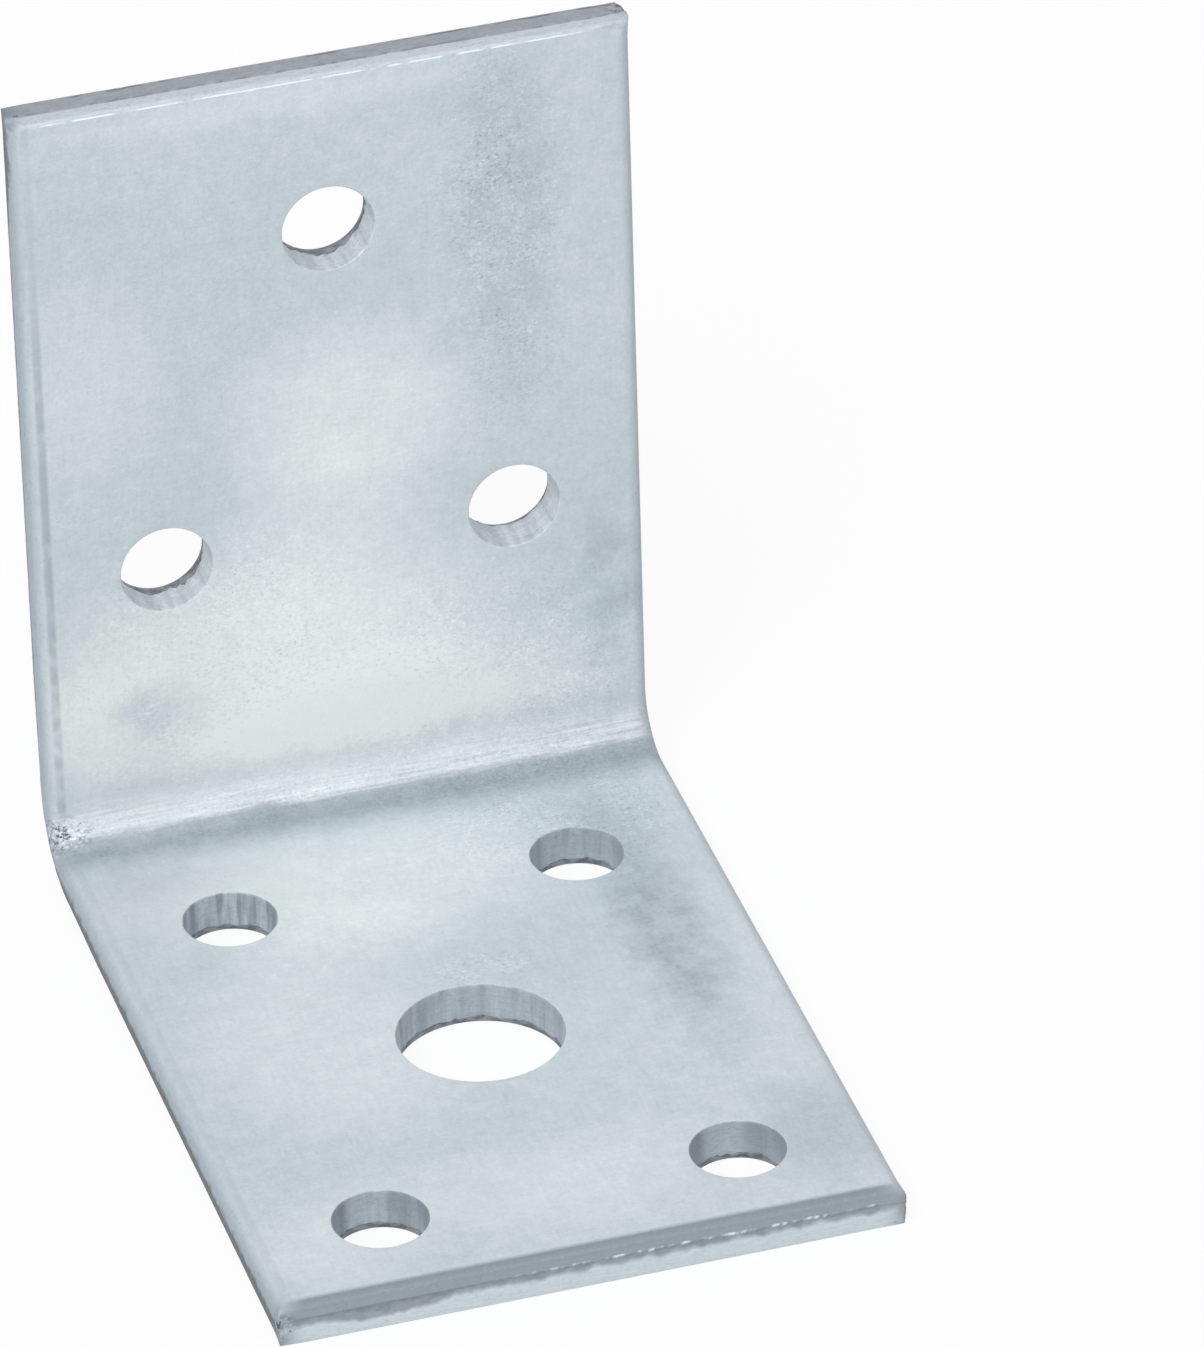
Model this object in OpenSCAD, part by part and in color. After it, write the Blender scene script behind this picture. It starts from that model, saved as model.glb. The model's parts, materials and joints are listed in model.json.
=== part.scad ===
// Angle bracket of galvanised steel strip, sheared to length, punched and folded once.
// The base leg lies flat and runs towards -Y, and the upright leg rises at the back, +Y.
// Origin: middle of the base leg's underside, in the bracket's plane of symmetry.
//
// The strip was slit, sheared and punched from the side that became the inside of the angle.
// So each cut edge shows the same zones, from the inner face to the outer one: a rolled-over
// corner, a burnished band where the tool sheared, and a broken band that leans back from it.

/* [Strip] */
// Width of the strip, over the burnished bands of its long edges
strip_w = 35; // [30:0.5:80]
// Thickness of the sheet
sheet_t = 2.5; // [2:0.1:4]

/* [Legs] */
// Height of the upright leg over the underside of the base
upright_h = 48.8; // [45:0.1:120]
// Length of the base leg from the back of the upright
base_l = 49.3; // [48:0.1:120]

/* [Fold] */
// Inside radius of the fold
fold_r = 2.5; // [1:0.1:5]

/* [Nail holes] */
// Diameter of the seven nail holes in their burnished band
nail_d = 5.2; // [3:0.1:7]
// Distance across the strip between the two holes of a row
row_pitch = 20; // [12:0.5:22]
// Height of the upright's row over the underside of the base
upright_row = 19; // [12:0.5:24]
// Distance of the upright's single hole from the upright's sheared end
top_inset = 9.8; // [5:0.1:14]
// Distance of the base's rear row from the back of the upright
rear_row = 13.1; // [11:0.1:16]
// Distance of the base's front row from the base's sheared end
front_inset = 6.2; // [5:0.1:10]

/* [Bolt hole] */
// Diameter of the bolt hole in the middle of the base's four nail holes
bolt_d = 9.2; // [6:0.1:13]

/* [Long edges] */
// Width of the rolled-over corner across the inner face
side_roll_w = 0.9; // [0.2:0.1:1.2]
// Depth of the rolled-over corner
side_roll_d = 0.9; // [0.2:0.1:0.9]
// Height of the burnished band
side_burnish = 0.4; // [0.2:0.1:1]
// How far the broken band leans back at the outer face
side_lean = 0.2; // [0.05:0.05:0.4]

/* [Sheared ends] */
// Width of the rolled-over corner across the inner face
end_roll_w = 0.5; // [0.2:0.1:1.2]
// Depth of the rolled-over corner
end_roll_d = 0.4; // [0.2:0.1:0.9]
// Height of the burnished band
end_burnish = 0.8; // [0.2:0.1:1]
// How far the broken band leans back at the outer face
end_lean = 0.2; // [0.05:0.05:0.4]

/* [Hole walls] */
// Width of the rolled-over rim around a hole
rim_roll_w = 0.08; // [0.02:0.02:0.4]
// Depth of the rolled-over rim
rim_roll_d = 0.15; // [0.05:0.05:0.3]
// Height of the burnished wall that a nail or bolt fits
rim_burnish = 1.5; // [0.8:0.1:1.6]
// How far the broken wall flares out at the outer face
rim_lean = 0.1; // [0.02:0.02:0.3]

/* [Hidden] */
zinc_grey = "#c3ced3";
// Outside radius of the fold, which is also where each leg starts, measured from the heel
fold_out = fold_r + sheet_t;
// Distance of the base's front row from the back of the upright
front_row = base_l - front_inset;
// Steps in the curve of a rolled-over corner, and in that of a hole's small rim
corner_steps = 9;
rim_steps = 4;
// How far a cutting shape stands out past what it cuts
clear = 1;
fold_fn = 96;
hole_fn = 64;

// Outline of a cut edge, from the outer face to the inner one, as points that hold the
// distance back from the burnished band and the height over the outer face
function cut_edge(roll_w, roll_d, burnish, lean, steps) =
    concat(
        [[lean, 0], [0, sheet_t - roll_d - burnish]],
        [for (i = [0:steps])
            let (a = 90 * i / steps)
            [roll_w * (1 - cos(a)), sheet_t - roll_d * (1 - sin(a))]]);

// The same outline with its first and last stretch carried on past the faces, so that a shape
// made from it cuts right through
function through(edge) =
    let (last = len(edge) - 1,
        bottom = 2 * edge[0] - edge[1],
        top = 2 * edge[last] - edge[last - 1])
    concat([bottom], [for (i = [1:last - 1]) edge[i]], [top, [top.x, sheet_t + clear]]);

function side_edge() = cut_edge(side_roll_w, side_roll_d, side_burnish, side_lean, corner_steps);
function end_edge() = cut_edge(end_roll_w, end_roll_d, end_burnish, end_lean, corner_steps);
function hole_edge() = cut_edge(rim_roll_w, rim_roll_d, rim_burnish, rim_lean, rim_steps);

// Nail holes of each leg, as [place across the strip, distance along the leg from the heel]
function upright_nails() =
    [[-row_pitch / 2, upright_row], [row_pitch / 2, upright_row], [0, upright_h - top_inset]];
function base_nails() =
    [for (x = [-row_pitch / 2, row_pitch / 2], s = [rear_row, front_row]) [x, s]];

// Section of the strip: width along X, thickness up from the outer face
module strip_section() {
    edge = side_edge();
    last = len(edge) - 1;
    right = [for (p = edge) [strip_w / 2 - p.x, p.y]];
    left = [for (i = [last:-1:0]) [edge[i].x - strip_w / 2, edge[i].y]];
    polygon(concat(right, left));
}

// What the shear took away beyond the end of a leg
module end_waste(length) {
    cut = through(end_edge());
    last = len(cut) - 1;
    far = length + 2 * clear;
    outline = [for (p = cut) [length - p.x, p.y]];
    rotate([90, 0, 90])
        linear_extrude(strip_w + 2 * clear, center = true)
            polygon(concat(outline, [[far, cut[last].y], [far, cut[0].y]]));
}

// What the punch took away at one hole
module hole_waste(d) {
    cut = through(hole_edge());
    last = len(cut) - 1;
    wall = [for (p = cut) [d / 2 + p.x, p.y]];
    rotate_extrude($fn = hole_fn)
        polygon(concat([[0, cut[0].y]], wall, [[0, cut[last].y]]));
}

// One leg on its outer face: X across the strip, Y from the heel to the sheared end
module leg(length, nails) {
    difference() {
        translate([0, length + clear, 0])
            rotate([90, 0, 0])
                linear_extrude(length + clear - fold_out)
                    strip_section();
        end_waste(length);
        for (p = nails) translate([p.x, p.y, 0]) hole_waste(nail_d);
        children();
    }
}

// The quarter turn between the legs, with the section of the strip all the way round
module fold() {
    translate([0, -fold_out, fold_out])
        rotate([-90, 0, 90])
            rotate_extrude(angle = 90, $fn = fold_fn)
                translate([fold_out, 0])
                    rotate(90)
                        strip_section();
}

module bracket() {
    color(zinc_grey)
        translate([0, base_l / 2, 0]) {
            rotate([90, 0, 0]) leg(upright_h, upright_nails());
            rotate([0, 0, 180])
                leg(base_l, base_nails())
                    translate([0, (rear_row + front_row) / 2, 0]) hole_waste(bolt_d);
            fold();
        }
}

bracket();
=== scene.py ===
import json
import math
import bmesh
import bpy
from mathutils import Matrix, Vector, noise


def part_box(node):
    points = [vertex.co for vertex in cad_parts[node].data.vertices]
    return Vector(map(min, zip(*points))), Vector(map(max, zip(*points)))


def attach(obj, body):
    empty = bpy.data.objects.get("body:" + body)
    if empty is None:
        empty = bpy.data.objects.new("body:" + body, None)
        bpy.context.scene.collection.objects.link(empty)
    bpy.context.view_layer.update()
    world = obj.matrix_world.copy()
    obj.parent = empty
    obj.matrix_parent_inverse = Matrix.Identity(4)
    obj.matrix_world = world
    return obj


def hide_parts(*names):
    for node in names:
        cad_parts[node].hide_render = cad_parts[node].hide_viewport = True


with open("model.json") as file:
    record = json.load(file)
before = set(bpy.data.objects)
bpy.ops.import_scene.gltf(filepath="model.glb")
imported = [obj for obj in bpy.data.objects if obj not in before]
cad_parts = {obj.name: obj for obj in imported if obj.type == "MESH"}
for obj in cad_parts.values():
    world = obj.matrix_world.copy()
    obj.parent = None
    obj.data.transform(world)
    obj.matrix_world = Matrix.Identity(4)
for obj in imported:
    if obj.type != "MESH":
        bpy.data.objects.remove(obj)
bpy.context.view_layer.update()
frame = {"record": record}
mm = 0.001

# Camera
# A long lens, a little to the left of the bracket and well above it, turned by a degree or two.
# Its lens, its distance and the point it looks at give the framing of a 1204 x 1348 picture.
lens_mm = 359.1
distance = 723.25 * mm
aim = Vector((7.69, -2.66, 23.72)) * mm
azimuth, elevation, roll = (math.radians(a) for a in (-15.944, 33.233, -1.668))
camera = bpy.data.objects.new("camera", bpy.data.cameras.new("camera"))
bpy.context.collection.objects.link(camera)
turn = (Matrix.Rotation(azimuth, 3, "Z") @ Matrix.Rotation(math.pi / 2 - elevation, 3, "X")
        @ Matrix.Rotation(roll, 3, "Z"))
camera.matrix_world = Matrix.LocRotScale(aim + turn @ Vector((0, 0, distance)), turn, None)
camera.data.lens = lens_mm
camera.data.sensor_width = 36
camera.data.clip_start = 0.05
camera.data.clip_end = 20
bpy.context.scene.camera = camera
bpy.context.scene.view_settings.view_transform = "Standard"


# Floor and surround
# A white tabletop of matt board in a white surround. Camera, mirror and glass rays see both as
# white, and the tabletop keeps the bracket's soft shadow.
def linear(hex_colour):
    """An sRGB hex colour such as c8d2d8 as the linear RGBA that Blender's sockets take."""
    channels = [int(hex_colour[i:i + 2], 16) / 255 for i in (0, 2, 4)]
    return [c / 12.92 if c <= 0.04045 else ((c + 0.055) / 1.055) ** 2.4 for c in channels] + [1]


def add(kind, *values, **named):
    """Add a shader node to the tree in hand, with its mode as a second word, and give its output.

    The values fill its live sockets in order, and the named ones fill the sockets of those names:
    an output is joined and anything else is set. It gives the first live output.
    """
    kind, _, mode = kind.partition(" ")
    node = tree.nodes.new("ShaderNode" + kind)
    if mode:
        setting = {"MapRange": "interpolation_type", "Mix": "data_type"}.get(kind, "operation")
        setattr(node, setting, mode)
    sockets = [socket for socket in node.inputs if socket.enabled]
    sockets = sockets[:len(values)] + [node.inputs[name.replace("_", " ")] for name in named]
    for socket, value in zip(sockets, [*values, *named.values()]):
        if isinstance(value, bpy.types.NodeSocket):
            tree.links.new(value, socket)
        else:
            socket.default_value = value
    return next((socket for socket in node.outputs if socket.enabled), None)


def new_material(name):
    """A material with no nodes yet but its output."""
    material = bpy.data.materials.new(name)
    material.use_nodes = True
    material.node_tree.nodes.clear()
    return material, material.node_tree, material.node_tree.nodes.new("ShaderNodeOutputMaterial")


def plain_view():
    """1 for the rays that find the plain white background: the camera's, a mirror's and glass's."""
    path = add("LightPath").node.outputs
    either = add("Math MAXIMUM", path["Is Camera Ray"], path["Is Glossy Ray"])
    return add("Math MAXIMUM", either, path["Is Transmission Ray"])


floor_half = 1.2
floor_gap = 0.02 * mm
bm = bmesh.new()
bmesh.ops.create_grid(bm, x_segments=1, y_segments=1, size=floor_half)
bmesh.ops.translate(bm, vec=(0, 0, -floor_gap), verts=bm.verts)
floor = bpy.data.objects.new("floor", bpy.data.meshes.new("floor"))
bm.to_mesh(floor.data)
bm.free()
bpy.context.collection.objects.link(floor)
board, tree, out = new_material("matt white board")
matt = add("BsdfDiffuse", Color=linear("f2f3f4"))
glow = add("Emission", Color=linear("ffffff"), Strength=1)
glow_share = 0.9
shown = add("Math MULTIPLY", plain_view(), glow_share)
tree.links.new(add("MixShader", shown, matt, glow), out.inputs["Surface"])
floor.data.materials.append(board)

world = bpy.data.worlds.new("white surround")
bpy.context.scene.world = world
world.use_nodes = True
tree = world.node_tree
tree.nodes.clear()
surround = add("Background", Color=linear("ffffff"), Strength=0.5)
white = add("Background", Color=linear("ffffff"), Strength=1)
tree.links.new(add("MixShader", plain_view(), surround, white),
               tree.nodes.new("ShaderNodeOutputWorld").inputs["Surface"])


# Lights
# Two large soft boxes: the main one high in front on the left, a weaker one high behind.
def soft_box(name, place, size, watts):
    """A square area light at a place in metres, turned to the middle of the bracket."""
    lamp = bpy.data.objects.new(name, bpy.data.lights.new(name, "AREA"))
    lamp.data.energy = watts
    lamp.data.size = size
    lamp.location = place
    lamp.rotation_euler = (Vector(place) - aim).to_track_quat("Z", "Y").to_euler()
    bpy.context.collection.objects.link(lamp)


soft_box("front box", (-0.35, -0.55, 0.75), 0.7, 6.5)
soft_box("rear box", (0.3, 0.6, 0.8), 0.7, 0.5)

# Bracket: its blank
# A strip of galvanised steel, slit along its long edges, sheared at its ends and punched, all from
# the side that lies inside the angle after folding. Lengths along the strip run from the base leg's
# sheared end, heights from the outer face. The CAD part gives the sizes.
piece = "bracket"
low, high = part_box(piece)
strip_w, base_l, upright_h = high - low
sheet_t = 2.5 * mm
fold_r = 2.5 * mm
fold_out = fold_r + sheet_t
fold_len = (fold_r + sheet_t / 2) * math.pi / 2
fold_start = base_l - fold_out
fold_end = fold_start + fold_len
blank_l = fold_end + upright_h - fold_out
half_w, half_l = strip_w / 2, blank_l / 2

bm = bmesh.new()
home = bm.verts.layers.float_vector.new("home")
cut = bm.verts.layers.float_vector.new("cut")
zone = bm.verts.layers.float_vector.new("zone")
state = bm.verts.layers.float_vector.new("state")
flat = bm.verts.layers.float_vector.new("flat")


def smooth(x):
    """A soft step from 0 to 1."""
    x = min(max(x, 0), 1)
    return x * x * (3 - 2 * x)


def grain(point, pitch, seed):
    """Smooth noise of about -1 to 1 over the blank, with its waves about one pitch long."""
    return noise.noise(Vector((point.x / pitch, point.y / pitch, seed * 7.31)))


# Bracket: its cut edges
# Where a blade or punch enters, the face is first rolled over, then the wall is burnished, and below
# that the steel breaks off ragged and leans back to the outer face. Each cut edge is a loop that is
# extruded row by row through these bands.
face_rim = 0.4 * mm
edge_r = 0.07 * mm
lip_drop = 0.05 * mm
broken_drop = 0.06 * mm
deep_bite = 0.25 * mm
wide_roll = 0.8 * mm
roll_rows = 8
lip_row = roll_rows + 3
last_row = lip_row + 9


def edge_row(row, roll_w, roll_d, line, lean, bite, rough):
    """The distance back from the cut, the height, and the shares of wall, break and bite of a row."""
    if row == 0:
        return roll_w + face_rim, sheet_t, 0, 0, 0
    if row <= roll_rows:
        part = (row - 1) / (roll_rows - 1)
        turn = part * math.pi / 2
        rolled = smooth(part if roll_w > wide_roll else 3.5 * part)
        return roll_w * (1 - math.sin(turn)), sheet_t - roll_d * (1 - math.cos(turn)), rolled, 0, 0
    burnished = sheet_t - roll_d - line
    step = row - lip_row
    if step < 0:
        share = (0.15, 0.5)[step + 1] if burnished > 0.15 * mm else 0.4 * (-step) / 2
        return 0, line + burnished * share, 1, 0, 0
    if step == 0:
        return 0, line, 1, 0, 0
    if step == 1:
        return 0.03 * mm + bite * 0.14, line - lip_drop, 1, 0.7, smooth(bite / deep_bite)
    if step == 2:
        return 0.02 * mm + bite * 0.1 + abs(rough), line - bite, 1, 1, smooth(bite / deep_bite)
    broken = line - bite - broken_drop
    if step <= 6:
        share = (6 - step) / 3.6
        back = lean * (1 - share) + rough * (1 - abs(2 * share - 1)) + abs(rough) * 0.4
        return max(back, 0), broken * share + edge_r * (1 - share), 1, 1, 0
    if step == 7:
        return lean + edge_r * 0.3, edge_r * 0.3, 1, 1, 0
    if step == 8:
        return lean + edge_r, 0, 0.3, 0.6, 0
    return lean + edge_r + face_rim, 0, 0, 0, 0


def cut_rows(edges, shape):
    """Extrude a loop of edges through the sheet. Returns its loops in the inner and outer face."""
    loop = list(edges)
    for row in range(last_row + 1):
        if row:
            made = bmesh.ops.extrude_edge_only(bm, edges=loop)["geom"]
            fresh = {v for v in made if isinstance(v, bmesh.types.BMVert)}
            loop = [e for e in made if isinstance(e, bmesh.types.BMEdge) and fresh.issuperset(e.verts)]
        for v in {v for e in loop for v in e.verts}:
            shape(v, row)
    return list(edges), loop


# Bracket: its holes
# Seven nail holes and one bolt hole, punched. The punch leaves a nearly upright burnished wall with
# scores along it, and a dark broken crescent by the outer face, wider in the upright leg.
hole_step = 0.13 * mm
hole_roll_w, hole_roll_d = 0.08 * mm, 0.15 * mm
hole_lean, hole_bite = 0.06 * mm, 0.02 * mm
hole_rough = 0.05 * mm
wave_pitch, fine_pitch = 1.1 * mm, 0.3 * mm
mounts = {m["name"]: m for m in frame["record"]["mounts"]}
base_break, upright_break, clean_break = 0.42 * mm, 0.75 * mm, 0.28 * mm
# Each hole's wall is marked for its painted light: 1 for the base's holes, painted shade, and 0.3 for
# the upright's, painted light.
shaded_wall, lit_wall = 1, 0.3
rise = fold_end - fold_out
inner_rims, outer_rims = [], []
holes = []
nails = mounts["base_nail_holes"]
for side_x in (-1, 1):
    for side_y in (-1, 1):
        x = nails["pos_m"][0] + side_x * nails["dims"]["spacing_x_mm"] / 2 * mm
        y = nails["pos_m"][1] + side_y * nails["dims"]["spacing_y_mm"] / 2 * mm
        holes.append((x, y - low.y, nails["dims"]["hole_r_mm"] * mm, base_break, shaded_wall))
bolt = mounts["bolt_hole"]
holes.append((bolt["pos_m"][0], bolt["pos_m"][1] - low.y, bolt["dims"]["r_mm"] * mm,
              base_break, shaded_wall))
row = mounts["upright_nail_row"]
for side_x, break_h in ((-1, upright_break), (1, clean_break)):
    x = row["pos_m"][0] + side_x * row["dims"]["spacing_x_mm"] / 2 * mm
    holes.append((x, row["pos_m"][2] + rise, row["dims"]["hole_r_mm"] * mm, break_h, lit_wall))
top = mounts["upright_top_hole"]
holes.append((top["pos_m"][0], top["pos_m"][2] + rise, top["dims"]["r_mm"] * mm,
              upright_break, lit_wall))

for x, y, r, break_h, wall_shade in holes:
    centre = Vector((x, y, 0))

    def hole_shape(v, row):
        """Place one vertex of a hole's rows."""
        h = v[home]
        out_way = (h - centre).normalized()
        wave, fine = grain(h, wave_pitch, 11), grain(h, fine_pitch, 12)
        rough = hole_rough * grain(h, fine_pitch, 13 + row)
        line = break_h * (1 + 0.4 * wave + 0.35 * fine)
        bands = edge_row(row, hole_roll_w, hole_roll_d, line, hole_lean, hole_bite, rough)
        u, n, wall, broken, bite = bands
        v.co = centre + out_way * (r + u) + Vector((0, 0, n))
        v[cut] = (math.atan2(out_way.y, out_way.x) * r / mm, n / mm, (line - n) / mm)
        v[zone] = (0, 0, wall * wall_shade)
        v[state] = (wall, broken, bite)

    made = bmesh.ops.create_circle(bm, segments=round(2 * math.pi * r / hole_step), radius=r,
                                   matrix=Matrix.Translation(centre))
    for v in made["verts"]:
        v[home] = v.co
    first, last = cut_rows({e for v in made["verts"] for e in v.link_edges}, hole_shape)
    inner_rims += first
    outer_rims += last

# Bracket: its outline
# The two slit edges are rolled over by nearly a millimetre. The sheared ends are rolled over less:
# the front end broke early and in bites, the top end later and with a torn burr.
outline_step = 0.17 * mm
corner_blend = 1.6 * mm
on_edge = 1e-7
side_roll = 0.9 * mm
front_roll_w, front_roll_d = 0.75 * mm, 0.4 * mm
top_roll_w, top_roll_d = 0.28 * mm, 0.3 * mm
side_break, front_break, top_break = 1.2 * mm, 1.6 * mm, 1.58 * mm
least_bite, corner_reach = 0.12 * mm, 1.2 * mm
big_bite_x, big_bite_w = -11.2 * mm, 2.6 * mm
corners = bmesh.ops.create_grid(bm, x_segments=1, y_segments=1, size=0.5)["verts"]
bmesh.ops.scale(bm, vec=(strip_w, blank_l, 1), verts=corners)
bmesh.ops.translate(bm, vec=(0, half_l, 0), verts=corners)
bmesh.ops.delete(bm, geom=corners[0].link_faces[:], context="FACES_ONLY")
outline = {e for v in corners for e in v.link_edges}
for edge in list(outline):
    cuts = round(edge.calc_length() / outline_step) - 1
    made = bmesh.ops.subdivide_edges(bm, edges=[edge], cuts=cuts)["geom_split"]
    outline |= {e for e in made if isinstance(e, bmesh.types.BMEdge)}
for e in outline:
    for v in e.verts:
        v[home] = v.co


def outline_shape(v, row):
    """Place one vertex of the outline's rows, and note on which cut and how deep in it it lies."""
    h = v[home]
    side_gap = half_w - abs(h.x)
    end_gap = half_l - abs(h.y - half_l)
    end_share = smooth(0.5 + (side_gap - end_gap) / (2 * corner_blend))
    front = h.y < half_l
    along = h.x + h.y
    wave, fine = grain(h, 1.4 * mm, 1), grain(h, 0.45 * mm, 2)
    rough = 0.07 * mm * grain(h, 0.4 * mm, 3 + row) + 0.04 * mm * grain(h, 0.9 * mm, 30)
    side_lean = (0.06 + 0.12 * smooth(max(h.y / (20 * mm), -h.x / half_w))) * mm
    side_line = side_break + (0.08 * wave + 0.04 * fine) * mm
    side_bite = 0.04 * mm * max(0, 1 + 2 * wave)
    side = edge_row(row, side_roll, side_roll, side_line, side_lean, side_bite, rough)
    if front:
        big_bite = smooth(1.6 - abs(h.x - big_bite_x) / big_bite_w)
        bite = (0.38 + 0.22 * wave + 0.2 * fine + 0.35 * big_bite) * mm
        bite = max(least_bite, bite * smooth(side_gap / corner_reach))
        end_line = front_break + (0.04 * grain(h, 4 * mm, 4) + 0.03 * fine) * mm
        end_lean = (0.05 + 0.04 * h.x / half_w) * mm
        end = edge_row(row, front_roll_w, front_roll_d, end_line, end_lean, bite, 0.6 * rough)
    else:
        burr = max(0, grain(h, 2.2 * mm, 5) + 0.2 * fine - 0.1)
        end_line = top_break + (0.04 * h.x / half_w + 0.05 * wave + 0.03 * fine) * mm
        end_lean = (0.14 + 0.03 * h.x / half_w + 0.1 * burr) * mm
        end = edge_row(row, top_roll_w, top_roll_d, end_line, end_lean, 0.05 * mm, rough)
    u, n, wall, broken, bite = (a + (b - a) * end_share for a, b in zip(side, end))
    corner_u = (side[0] + end[0]) / 2
    if end_gap < on_edge:
        y = half_l + math.copysign(half_l - u, h.y - half_l)
    else:
        y = half_l + (h.y - half_l) * (half_l - corner_u) / half_l
    if side_gap < on_edge:
        x = math.copysign(half_w - u, h.x)
    else:
        x = h.x * (half_w - corner_u) / half_w
    v.co = (x, y, n)
    line = side_line + (end_line - side_line) * end_share
    end_share *= wall
    v[cut] = (along / mm, n / mm, (line - n) / mm)
    v[zone] = (end_share, 0, 0) if front else (0, end_share, 0)
    v[state] = (wall, broken, bite)


first, last = cut_rows(outline, outline_shape)
inner_rims += first
outer_rims += last

# Bracket: its two faces
# Both are filled flat between the rims, and cut into fine rows across the strip where it will fold.
fold_margin = 2 * mm
left_reach = 2 * mm
for rims in (inner_rims, outer_rims):
    left_rim = {v for e in rims for v in e.verts if v.co.x < left_reach - half_w}
    rows = sorted({v.co.y for v in left_rim
                   if fold_start - fold_margin < v.co.y < fold_end + fold_margin})
    geom = bmesh.ops.triangle_fill(bm, edges=rims, use_beauty=True)["geom"]
    geom = [f for f in geom if isinstance(f, bmesh.types.BMFace)]
    geom += list({e for f in geom for e in f.edges}) + list({v for f in geom for v in f.verts})
    for y in rows[::2]:
        geom = bmesh.ops.bisect_plane(bm, geom=geom, dist=1e-6, plane_co=(0, y, 0),
                                      plane_no=(0, 1, 0))["geom"]
bmesh.ops.recalc_face_normals(bm, faces=bm.faces)

# Bracket: its fold
# The press folds the blank through a right angle with its inner face inside. The outer side of the
# bend is stretched and draws in at the edges.
draw_in, draw_reach, draw_height = 0.06 * mm, 7 * mm, 1.6 * mm
draw_width = half_w / 8
for v in bm.verts:
    x, s, n = v.co
    v[flat] = (x / mm, s / mm, n / mm)
    past = max(fold_start - s, s - fold_end, 0)
    drawn = smooth(1 - past / draw_reach) * smooth(1 - n / draw_height)
    drawn *= smooth(1 - (half_w - abs(x)) / draw_width)
    x -= math.copysign(draw_in, x) * drawn
    turn = min(max((s - fold_start) / fold_len, 0), 1) * math.pi / 2
    before, after = min(s, fold_start), max(s - fold_end, 0)
    y = low.y + before + (fold_out - n) * math.sin(turn)
    z = fold_out - (fold_out - n) * math.cos(turn) + after
    v.co = (x, y, z)

mesh = bpy.data.meshes.new(piece + "_steel")
bm.verts.layers.float_vector.remove(home)
bm.to_mesh(mesh)
bm.free()
mesh.shade_smooth()
bracket = bpy.data.objects.new(piece + "_steel", mesh)
bpy.context.collection.objects.link(bracket)

# Bracket: its finish
# Hot-dip galvanised steel: a matt, pale blue-grey zinc coat, mottled in soft clouds, with a fine
# grain. The cut edges show the steel, grey where burnished and rough where broken.
steel, tree, out = new_material("hot-dip galvanised steel")
place = add("Mapping", add("TexCoord").node.outputs["Object"], Scale=(1 / mm, 1 / mm, 1 / mm))


def cloud(vector, pitch, detail=2, roughness=0.5, stretch=(1, 1, 1), shift=0):
    """Noise of about -1 to 1 with its waves one pitch long, in the vector's own millimetres."""
    scaled = add("VectorMath MULTIPLY_ADD", vector, [1 / (pitch * s) for s in stretch],
                 (shift, 1.7 * shift, 0.6 * shift))
    field = add("TexNoise", scaled, Scale=1, Detail=detail, Roughness=roughness)
    return add("Math MULTIPLY_ADD", field, 4, -2)


def read(name):
    """The three numbers noted under a name on the mesh's vertices, after their vector."""
    noted = add("Attribute").node
    noted.attribute_name = name
    vector = noted.outputs["Vector"]
    return [vector] + list(add("SeparateXYZ", vector).node.outputs)


def patch(vector, centre, reach):
    """1 in the middle of a patch, falling softly to 0 at its reach."""
    inside = add("VectorMath MULTIPLY_ADD", vector, [1 / r for r in reach],
                 [-c / r for c, r in zip(centre, reach)])
    return add("MapRange SMOOTHSTEP", add("VectorMath LENGTH", inside), 1, 0.25)


where, _, height, drop = read("cut")
_, front, top_end, hole = read("zone")
_, wall, broken, bite = read("state")
strip, strip_x, strip_s, _ = read("flat")

# Stains in the zinc, partly its own and partly painted light and shade: the light patches low on
# the upright leg and at the back of the base are painted light reflected into the corner of the
# fold, and the darker ones on the right of the upright leg are partly painted shade of that side.
# Each gives where it lies, how far it reaches each way and how light it is. A level is about one
# step of the 255 from black to white, in the middle of the zinc's shades.
stains_and_painted_light = (
    ((1, 22, 27), (10, 3, 8), 17), ((-3, 22, 12), (17, 4, 11), 24), ((6, 22, 8), (16, 4, 5), 12),
    ((-14, 22, 32), (6, 3, 9), 8), ((-14, 22, 12), (6, 3, 6), 9), ((-3, 22, 47.6), (16, 3, 1.5), 8),
    ((0, 22, 6.8), (19, 4, 2.4), 15), ((-0.5, 22, 21.5), (8, 3, 6), 9), ((-15, 22, 9), (3.5, 3, 6), 14),
    ((-11.4, 22, 9.9), (4.2, 1.5, 2), -17), ((10, 22, 41), (4.5, 2, 12), -8),
    ((9.5, 22, 29), (5, 2, 6), -6), ((-2, 12.5, 2.5), (15, 8, 2), 16), ((-8, -2, 2.5), (11, 12, 2), 13),
    ((-4.5, 7.5, 2.5), (9, 5, 2), 8), ((12.6, 3, 2.5), (3.4, 18, 2), -11),
    ((12, 14, 2.5), (6, 5, 2), -6), ((-2, -18, 2.5), (16, 6, 2), 8), ((-13, -20, 2.5), (6, 5, 2), 7),
    ((14.5, -18, 2.5), (4.5, 7, 2), -12))
waves = add("TexNoise", place, Scale=0.35, Detail=4, Roughness=0.65).node.outputs["Color"]
warp_reach = 3
warp_mean = warp_reach / 2
warp = add("VectorMath MULTIPLY_ADD", waves, [warp_reach] * 3, place)
level = 0.0155
tone = add("Math MULTIPLY_ADD", cloud(place, 11, 3), 3 * level, 0.5)
for centre, reach, shade in stains_and_painted_light:
    inside = patch(warp, [c + warp_mean for c in centre], reach)
    tone = add("Math MULTIPLY_ADD", inside, shade * level, tone)
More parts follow.
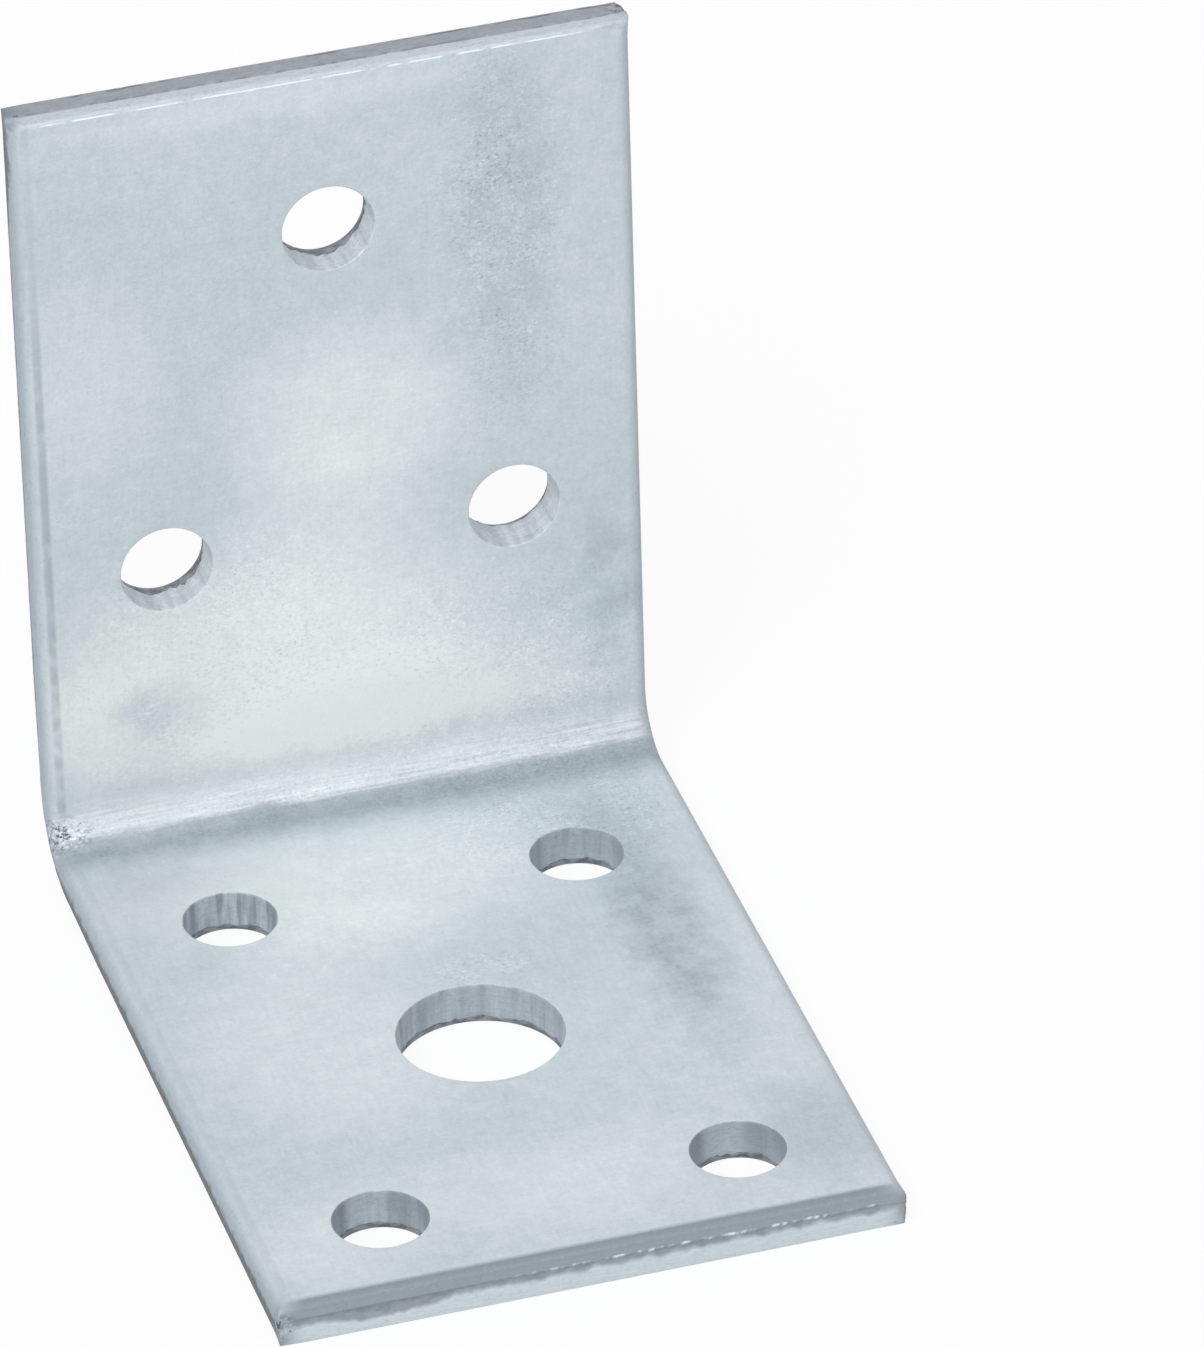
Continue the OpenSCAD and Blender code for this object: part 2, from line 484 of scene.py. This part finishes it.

# Darker places with ragged edges: a long streak of dirt on the base and four smaller places; the two
# on the right of the upright leg are partly painted shade of that side.
ragged = add("MapRange SMOOTHSTEP", cloud(place, 2.2, 4, 0.65, shift=14), -0.5, 0.5)
dirt_and_shade = (((12.2, 2, 2.5), (3.8, 18, 2), -10), ((-13, 17, 2.5), (5, 4, 2), -8),
        ((10, 22, 38), (4.5, 3, 14), -6), ((-11.4, 22, 9.9), (4.4, 1.5, 2.6), -9),
        ((15.5, 22, 12), (3, 3, 9), -11))
for centre, reach, shade in dirt_and_shade:
    inside = patch(warp, [c + warp_mean for c in centre], reach)
    tone = add("Math MULTIPLY_ADD", add("Math MULTIPLY", inside, ragged), shade * level, tone)

# The fold: painted shade darkens the zinc in the corner at its foot, from a soft edge on the base to
# a sharp one on the bend, and the zinc is rubbed in streaks along the bend above. The painted shade
# reaches out most a little right of the middle.
bend = fold_start / mm
foot_waver, foot_rake, foot_middle = 0.25, 0.03, 6
foot_shade, streak_depth, streak_shade = -26, 25, -12
from_middle = add("Math ABSOLUTE", add("Math SUBTRACT", strip_x, foot_middle))
foot = add("Math MULTIPLY_ADD", cloud(strip, 3.5, 3, 0.6, shift=2), foot_waver, strip_s)
foot = add("Math MULTIPLY_ADD", from_middle, -foot_rake, foot)
painted_foot_shade = add("Math MULTIPLY", add("MapRange SMOOTHSTEP", foot, bend - 2.8, bend + 0.4),
                add("MapRange SMOOTHSTEP", foot, bend + 2.3, bend + 1.5))
tone = add("Math MULTIPLY_ADD", painted_foot_shade, foot_shade * level, tone)
rubbed = add("Math MULTIPLY", add("MapRange SMOOTHSTEP", foot, bend + 1.3, bend + 2.1),
             add("MapRange SMOOTHSTEP", foot, bend + 5.8, bend + 2.8))
streaks = cloud(strip, 0.26, 4, 0.7, stretch=(14, 1, 1), shift=6)
streaked = add("Math MULTIPLY_ADD", streaks, streak_depth, streak_shade)
tone = add("Math MULTIPLY_ADD", add("Math MULTIPLY", streaked, rubbed), level, tone)

# Mottling: fine dark flecks and light ones, the light ones painted glints, strongest in clusters on
# the bend and around it, and faint lines from rolling and handling.
flecked = (((-8, 22, 12), (12, 4, 11)), ((8, 22, 8), (14, 4, 9)), ((10, 22, 37), (5, 3, 17)),
           ((10, 16, 2.5), (9, 8, 2)), ((1.8, 2.6, 2.5), (4, 2, 2)))
clusters = rubbed
for centre, reach in flecked:
    clusters = add("Math MAXIMUM", clusters, patch(warp, [c + warp_mean for c in centre], reach))
clusters = add("Math MULTIPLY", clusters,
               add("MapRange SMOOTHSTEP", cloud(place, 3.5, 3, 0.6, shift=5), -1, 0.6))
unflecked_foot = 0.6
clusters = add("Math MULTIPLY", clusters, add("Math MULTIPLY_ADD", painted_foot_shade, -unflecked_foot, 1))
flecks = cloud(place, 0.3, 3, 0.8)
dark_grain = cloud(strip, 0.2, 2, 0.7, stretch=(1.5, 1, 1), shift=21)
light_grain = cloud(strip, 0.17, 2, 0.7, stretch=(1.2, 1, 1), shift=33)
speck_from, speck_full = 0.12, 0.75
dark_specks = add("MapRange SMOOTHSTEP", dark_grain, speck_from, speck_full)
glint_specks = add("MapRange SMOOTHSTEP", light_grain, speck_from, speck_full)
specks = add("Math SUBTRACT", glint_specks, add("Math MULTIPLY", dark_specks, 0.9))
tone = add("Math MULTIPLY_ADD", specks, add("Math MULTIPLY_ADD", clusters, 17 * level, 4 * level), tone)
tone = add("Math MULTIPLY_ADD", flecks, add("Math MULTIPLY_ADD", clusters, 8 * level, 4 * level), tone)
tone = add("Math MULTIPLY_ADD", clusters, 3 * level, tone)
tone = add("Math MULTIPLY_ADD", cloud(place, 1.4, 3, 0.7, shift=9), 4 * level, tone)
tone = add("Math MULTIPLY_ADD", cloud(strip, 0.22, 2, 0.6, stretch=(1, 9, 9)), 1.8 * level, tone)
tone = add("Math MULTIPLY_ADD", cloud(strip, 0.25, 2, 0.6, stretch=(8, 1, 1), shift=3), 1.5 * level,
           tone)
ramp = add("ValToRGB", tone)
stops = ramp.node.color_ramp.elements
shades = ((0, "909ba2"), (0.25, "b1bcc2"), (0.5, "c6d0d6"), (0.75, "dae1e3"), (1, "eef2f2"))
for position, shade in shades:
    stop = stops[0] if position == 0 else stops[-1] if position == 1 else stops.new(position)
    stop.position = position
    stop.color = linear(shade)

# Warmer, less blue zinc where it is rubbed, low on the upright leg and left of the fold.
rubbed_share, warm_share = 0.3, 0.35
zinc = add("Mix RGBA", add("Math MULTIPLY", rubbed, rubbed_share), ramp, linear("dcdcdf"))
warm = patch(warp, (-10, 23.5, 12), (9, 4, 12))
for centre, reach in (((-9, 16, 4), (10, 6, 3)), ((3, 23.5, 8), (18, 4, 5))):
    warm = add("Math MAXIMUM", warm, patch(warp, centre, reach))
zinc = add("Mix RGBA", add("Math MULTIPLY", warm, warm_share), zinc, linear("d9dcdb"))

# Cut steel: burnished bands, with scores down the hole walls and along the ends, and broken bands.
# The one steel is painted in lit and shaded copies by the way each cut faces: its burnished band is
# lightest on the top end, which faces up, and darkest on the front end, darker still where the
# front's roll-over faces up; its broken band is light on the front end, a painted reflection of the
# white floor below; the walls of the upright's holes are painted light and those of the base's
# holes painted shade.
scores = add("MapRange SMOOTHSTEP", cloud(where, 0.9, 3, 0.65, stretch=(1, 14, 14)), -0.7, 0.7)
lines = cloud(where, 0.14, 2, 0.7, stretch=(9, 1, 1))
chips = add("MapRange SMOOTHSTEP", cloud(where, 0.6, 2, 0.7, stretch=(1.4, 1, 1), shift=8), -0.7, 0.7)
side = add("Math MULTIPLY", add("Math SUBTRACT", 1, add("Math ADD", front, top_end)),
           add("MapRange SMOOTHSTEP", hole, 0.1, 0))
# Burnished steel in lit and shaded copies: painted light on the top end, painted shade on the front end
# and on its upward roll-over.
burnished = add("Mix RGBA", front, linear("aab6c0"), linear("949fa8"))
front_roll_shade = add("Math MULTIPLY", front, add("MapRange SMOOTHSTEP", height, 1.9, 2.45))
burnished = add("Mix RGBA", front_roll_shade, burnished, linear("848f98"))
burnished = add("Mix RGBA", top_end, burnished, linear("c6ccd4"))
# Hole walls: painted light on those in the upright leg, painted shade on those in the base.
in_hole = add("MapRange SMOOTHSTEP", hole, 0, 0.25)
lit_upright_wall = add("Mix RGBA", scores, linear("bcc5cd"), linear("dae1e7"))
burnished = add("Mix RGBA", in_hole, burnished, lit_upright_wall)
broad_scores = add("MapRange SMOOTHSTEP", cloud(where, 2.4, 2, stretch=(1, 14, 14), shift=3), -0.6, 0.6)
broad_share = add("Math MULTIPLY", add("MapRange SMOOTHSTEP", strip_s, 16, 12), 0.7)
contrast = add("Math MULTIPLY_ADD", add("MapRange SMOOTHSTEP", strip_x, 0, -8), 1, 0.5)
scored = add("Math MULTIPLY_ADD", add("Math SUBTRACT", scores, 0.5), contrast, 0.5)
scored = add("Math MULTIPLY_ADD", add("Math SUBTRACT", broad_scores, scored), broad_share, scored)
in_base_hole = add("MapRange SMOOTHSTEP", hole, 0.5, 1)
shaded_base_wall = add("Mix RGBA", scored, linear("96a1aa"), linear("c6d0d7"))
burnished = add("Mix RGBA", in_base_hole, burnished, shaded_base_wall)
# Broken steel: lighter on the front end, a painted reflection of the white floor.
torn = add("Mix RGBA", front, linear("95a2ad"), linear("c9d3da"))
torn = add("Mix RGBA", top_end, torn, linear("959aa4"))
crescent = add("Mix RGBA", chips, linear("5a5f64"), linear("959ba2"))
torn = add("Mix RGBA", in_hole, torn, crescent)
cut_colour = add("Mix RGBA", broken, burnished, torn)
line_share = add("Math MULTIPLY", add("MapRange SMOOTHSTEP", lines, -0.6, 0.6),
                 add("Math MULTIPLY_ADD", front, -0.13, 0.24))
cut_colour = add("Mix RGBA", line_share, cut_colour, linear("868d97"))
speck_share = add("Math MULTIPLY", dark_specks, add("Math MULTIPLY_ADD", front, -0.1, 0.25))
cut_colour = add("Mix RGBA", speck_share, cut_colour, linear("727a83"))
# Light specks on the cut steel: painted glints.
cut_colour = add("Mix RGBA", add("Math MULTIPLY", glint_specks, 0.06), cut_colour, linear("e3e8ec"))
top_chips = add("Math MULTIPLY", chips, add("Math MULTIPLY", top_end, 0.14))
cut_colour = add("Mix RGBA", top_chips, cut_colour, linear("d4d9dc"))
# Painted shade in the undercut bites below the lip.
bite_shade = add("Mix RGBA", chips, linear("8b929c"), linear("9ca3ad"))
cut_colour = add("Mix RGBA", bite, cut_colour, bite_shade)

# Along the cuts: a painted highlight on the broken lip at the front, painted shade along the ragged
# burr at the back of the top, a dark line by the outer face, and a thin line where the roll-over
# starts, with a painted highlight at the top.
lip_highlight = add("Math MULTIPLY", add("MapRange SMOOTHSTEP", add("Math ABSOLUTE", drop), 0.16, 0.05), front)
lip_highlight_gaps = cloud(where, 0.9, 2, 0.6, stretch=(1, 50, 50))
lip_highlight_span = add("Math MULTIPLY", add("MapRange SMOOTHSTEP", strip_x, -8, 3),
               add("MapRange SMOOTHSTEP", strip_x, 16.8, 15))
lip_highlight = add("Math MULTIPLY", lip_highlight, add("MapRange SMOOTHSTEP", lip_highlight_gaps, -0.2, 0.5))
lip_highlight = add("Math MULTIPLY", lip_highlight, lip_highlight_span)
cut_colour = add("Mix RGBA", add("Math MULTIPLY", lip_highlight, 0.9), cut_colour, linear("f4f7fb"))
# Painted shade in the groove along the torn burr at the back of the top end.
burr_height, burr_waver = 0.2, 0.1
from_burr = add("Math SUBTRACT", height, burr_height)
from_burr = add("Math MULTIPLY_ADD", cloud(where, 2, 2, stretch=(1, 50, 50)), -burr_waver, from_burr)
burr = add("MapRange SMOOTHSTEP", add("Math ABSOLUTE", from_burr), 0.11, 0.02)
burr_shade_share = add("MapRange SMOOTHSTEP", cloud(where, 1.6, 2, stretch=(1, 50, 50), shift=4), -0.2, 0.5)
burr = add("Math MULTIPLY", add("Math MULTIPLY", burr, top_end), burr_shade_share)
cut_colour = add("Mix RGBA", add("Math MULTIPLY", burr, 0.8), cut_colour, linear("4f5358"))
strip_end = blank_l / mm
base_rise, top_rise, rim_waver = 0.75, 1.1, 0.35
on_base = add("MapRange SMOOTHSTEP", strip_s, fold_end / mm, bend)
near_top = add("MapRange SMOOTHSTEP", strip_s, strip_end - 9, strip_end - 3)
rim_height = add("Math MULTIPLY_ADD", on_base, -base_rise, height)
rim_height = add("Math MULTIPLY_ADD", near_top, -top_rise, rim_height)
rim_height = add("Math MULTIPLY_ADD", cloud(strip, 0.8, 3, 0.7, shift=17), rim_waver, rim_height)
rim_dark = add("MapRange SMOOTHSTEP", rim_height, 0.95, 0.3)
rim_dark = add("Math MULTIPLY", add("Math MULTIPLY", rim_dark, wall), side)
rim_left = add("Math MULTIPLY_ADD", add("MapRange SMOOTHSTEP", strip_x, 10, -10), 0.55, 0.3)
rim_dark = add("Math MULTIPLY", rim_dark, rim_left)
cut_colour = add("Mix RGBA", rim_dark, cut_colour, linear("545a5b"))
colour = add("Mix RGBA", wall, zinc, cut_colour)
# A painted highlight along the start of the top end's roll-over.
rim_highlight_band = add("Math MULTIPLY", add("MapRange SMOOTHSTEP", wall, 0, 0.3),
               add("MapRange SMOOTHSTEP", wall, 1, 0.7))
highlight_gaps = cloud(where, 1.6, 2, 0.6, stretch=(1, 50, 50), shift=7)
highlight_span = add("Math MULTIPLY", add("MapRange SMOOTHSTEP", strip_x, -16.6, -15),
                add("MapRange SMOOTHSTEP", strip_x, 16, 13))
top_highlight = add("Math MULTIPLY", add("MapRange SMOOTHSTEP", strip_s, strip_end - 2, strip_end - 1),
               add("MapRange SMOOTHSTEP", highlight_gaps, -0.7, 0))
top_highlight = add("Math MULTIPLY", top_highlight, highlight_span)
line_highlight = add("Math MULTIPLY", rim_highlight_band, add("Math MULTIPLY", top_highlight, 0.8))
colour = add("Mix RGBA", line_highlight, colour, linear("fafcfe"))
side_line = add("Math MULTIPLY", add("MapRange SMOOTHSTEP", strip_x, -16.35, -16.6),
                add("MapRange SMOOTHSTEP", strip_x, -17.05, -16.8))
side_line = add("Math MULTIPLY", side_line,
                add("MapRange SMOOTHSTEP", height, sheet_t / mm - 0.5, sheet_t / mm - 0.4))
side_line = add("Math MULTIPLY", side_line,
                add("MapRange SMOOTHSTEP", cloud(strip, 2.5, 2, 0.7), -1.3, 0.1))
base_share, more_on_upright = 0.2, 0.45
side_share = add("Math MULTIPLY", add("MapRange SMOOTHSTEP", strip_s, bend, fold_end / mm),
                 add("MapRange SMOOTHSTEP", strip_s, strip_end - 8, strip_end - 18))
side_share = add("Math MULTIPLY_ADD", side_share, more_on_upright, base_share)
colour = add("Mix RGBA", add("Math MULTIPLY", side_line, side_share), colour, linear("98a4ae"))

# Scuffs: a dark dash at the top-left corner, a brownish stain at the front-right one, specks of
# dirt and bright metal at the other two corners and left of the fold.
dash = patch(strip, (-17.35, strip_end - 0.15, 2.1), (0.65, 0.3, 0.6))
colour = add("Mix RGBA", add("Math MULTIPLY", dash, 0.8), colour, linear("8b8fa0"))
stain = patch(strip, (17.6, 0, 1.2), (0.9, 0.5, 1.4))
colour = add("Mix RGBA", add("Math MULTIPLY", stain, 0.55), colour, linear("83837f"))
chipped = cloud(strip, 0.35, 3, 0.7, shift=12)
scuffs = (((-17.3, 0.2, 1.2), (1.2, 1.2, 1.2), 0.25),
          ((17.2, strip_end - 0.3, 0.8), (0.9, 1.1, 1.4), 0.15),
          ((-16.7, fold_end / mm - 2.9, 2), (2.1, 2.1, 1.7), 0.8))
for centre, reach, shine in scuffs:
    inside = patch(strip, centre, reach)
    dark = add("Math MULTIPLY", inside, add("MapRange SMOOTHSTEP", chipped, 0.1, 0.4))
    colour = add("Mix RGBA", dark, colour, linear("545b5f"))
    bright = add("Math MULTIPLY", add("MapRange SMOOTHSTEP", chipped, -0.15, -0.6), shine)
    colour = add("Mix RGBA", add("Math MULTIPLY", inside, bright), colour, linear("f0f3f6"))

relief = add("Bump", Strength=0.35, Distance=0.03 * mm, Height=flecks)
shader = add("BsdfPrincipled", colour, Metallic=0.3, Roughness=0.6, Normal=relief)
tree.links.new(shader, out.inputs["Surface"])
mesh.materials.append(steel)

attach(bracket, "root")
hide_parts(piece)
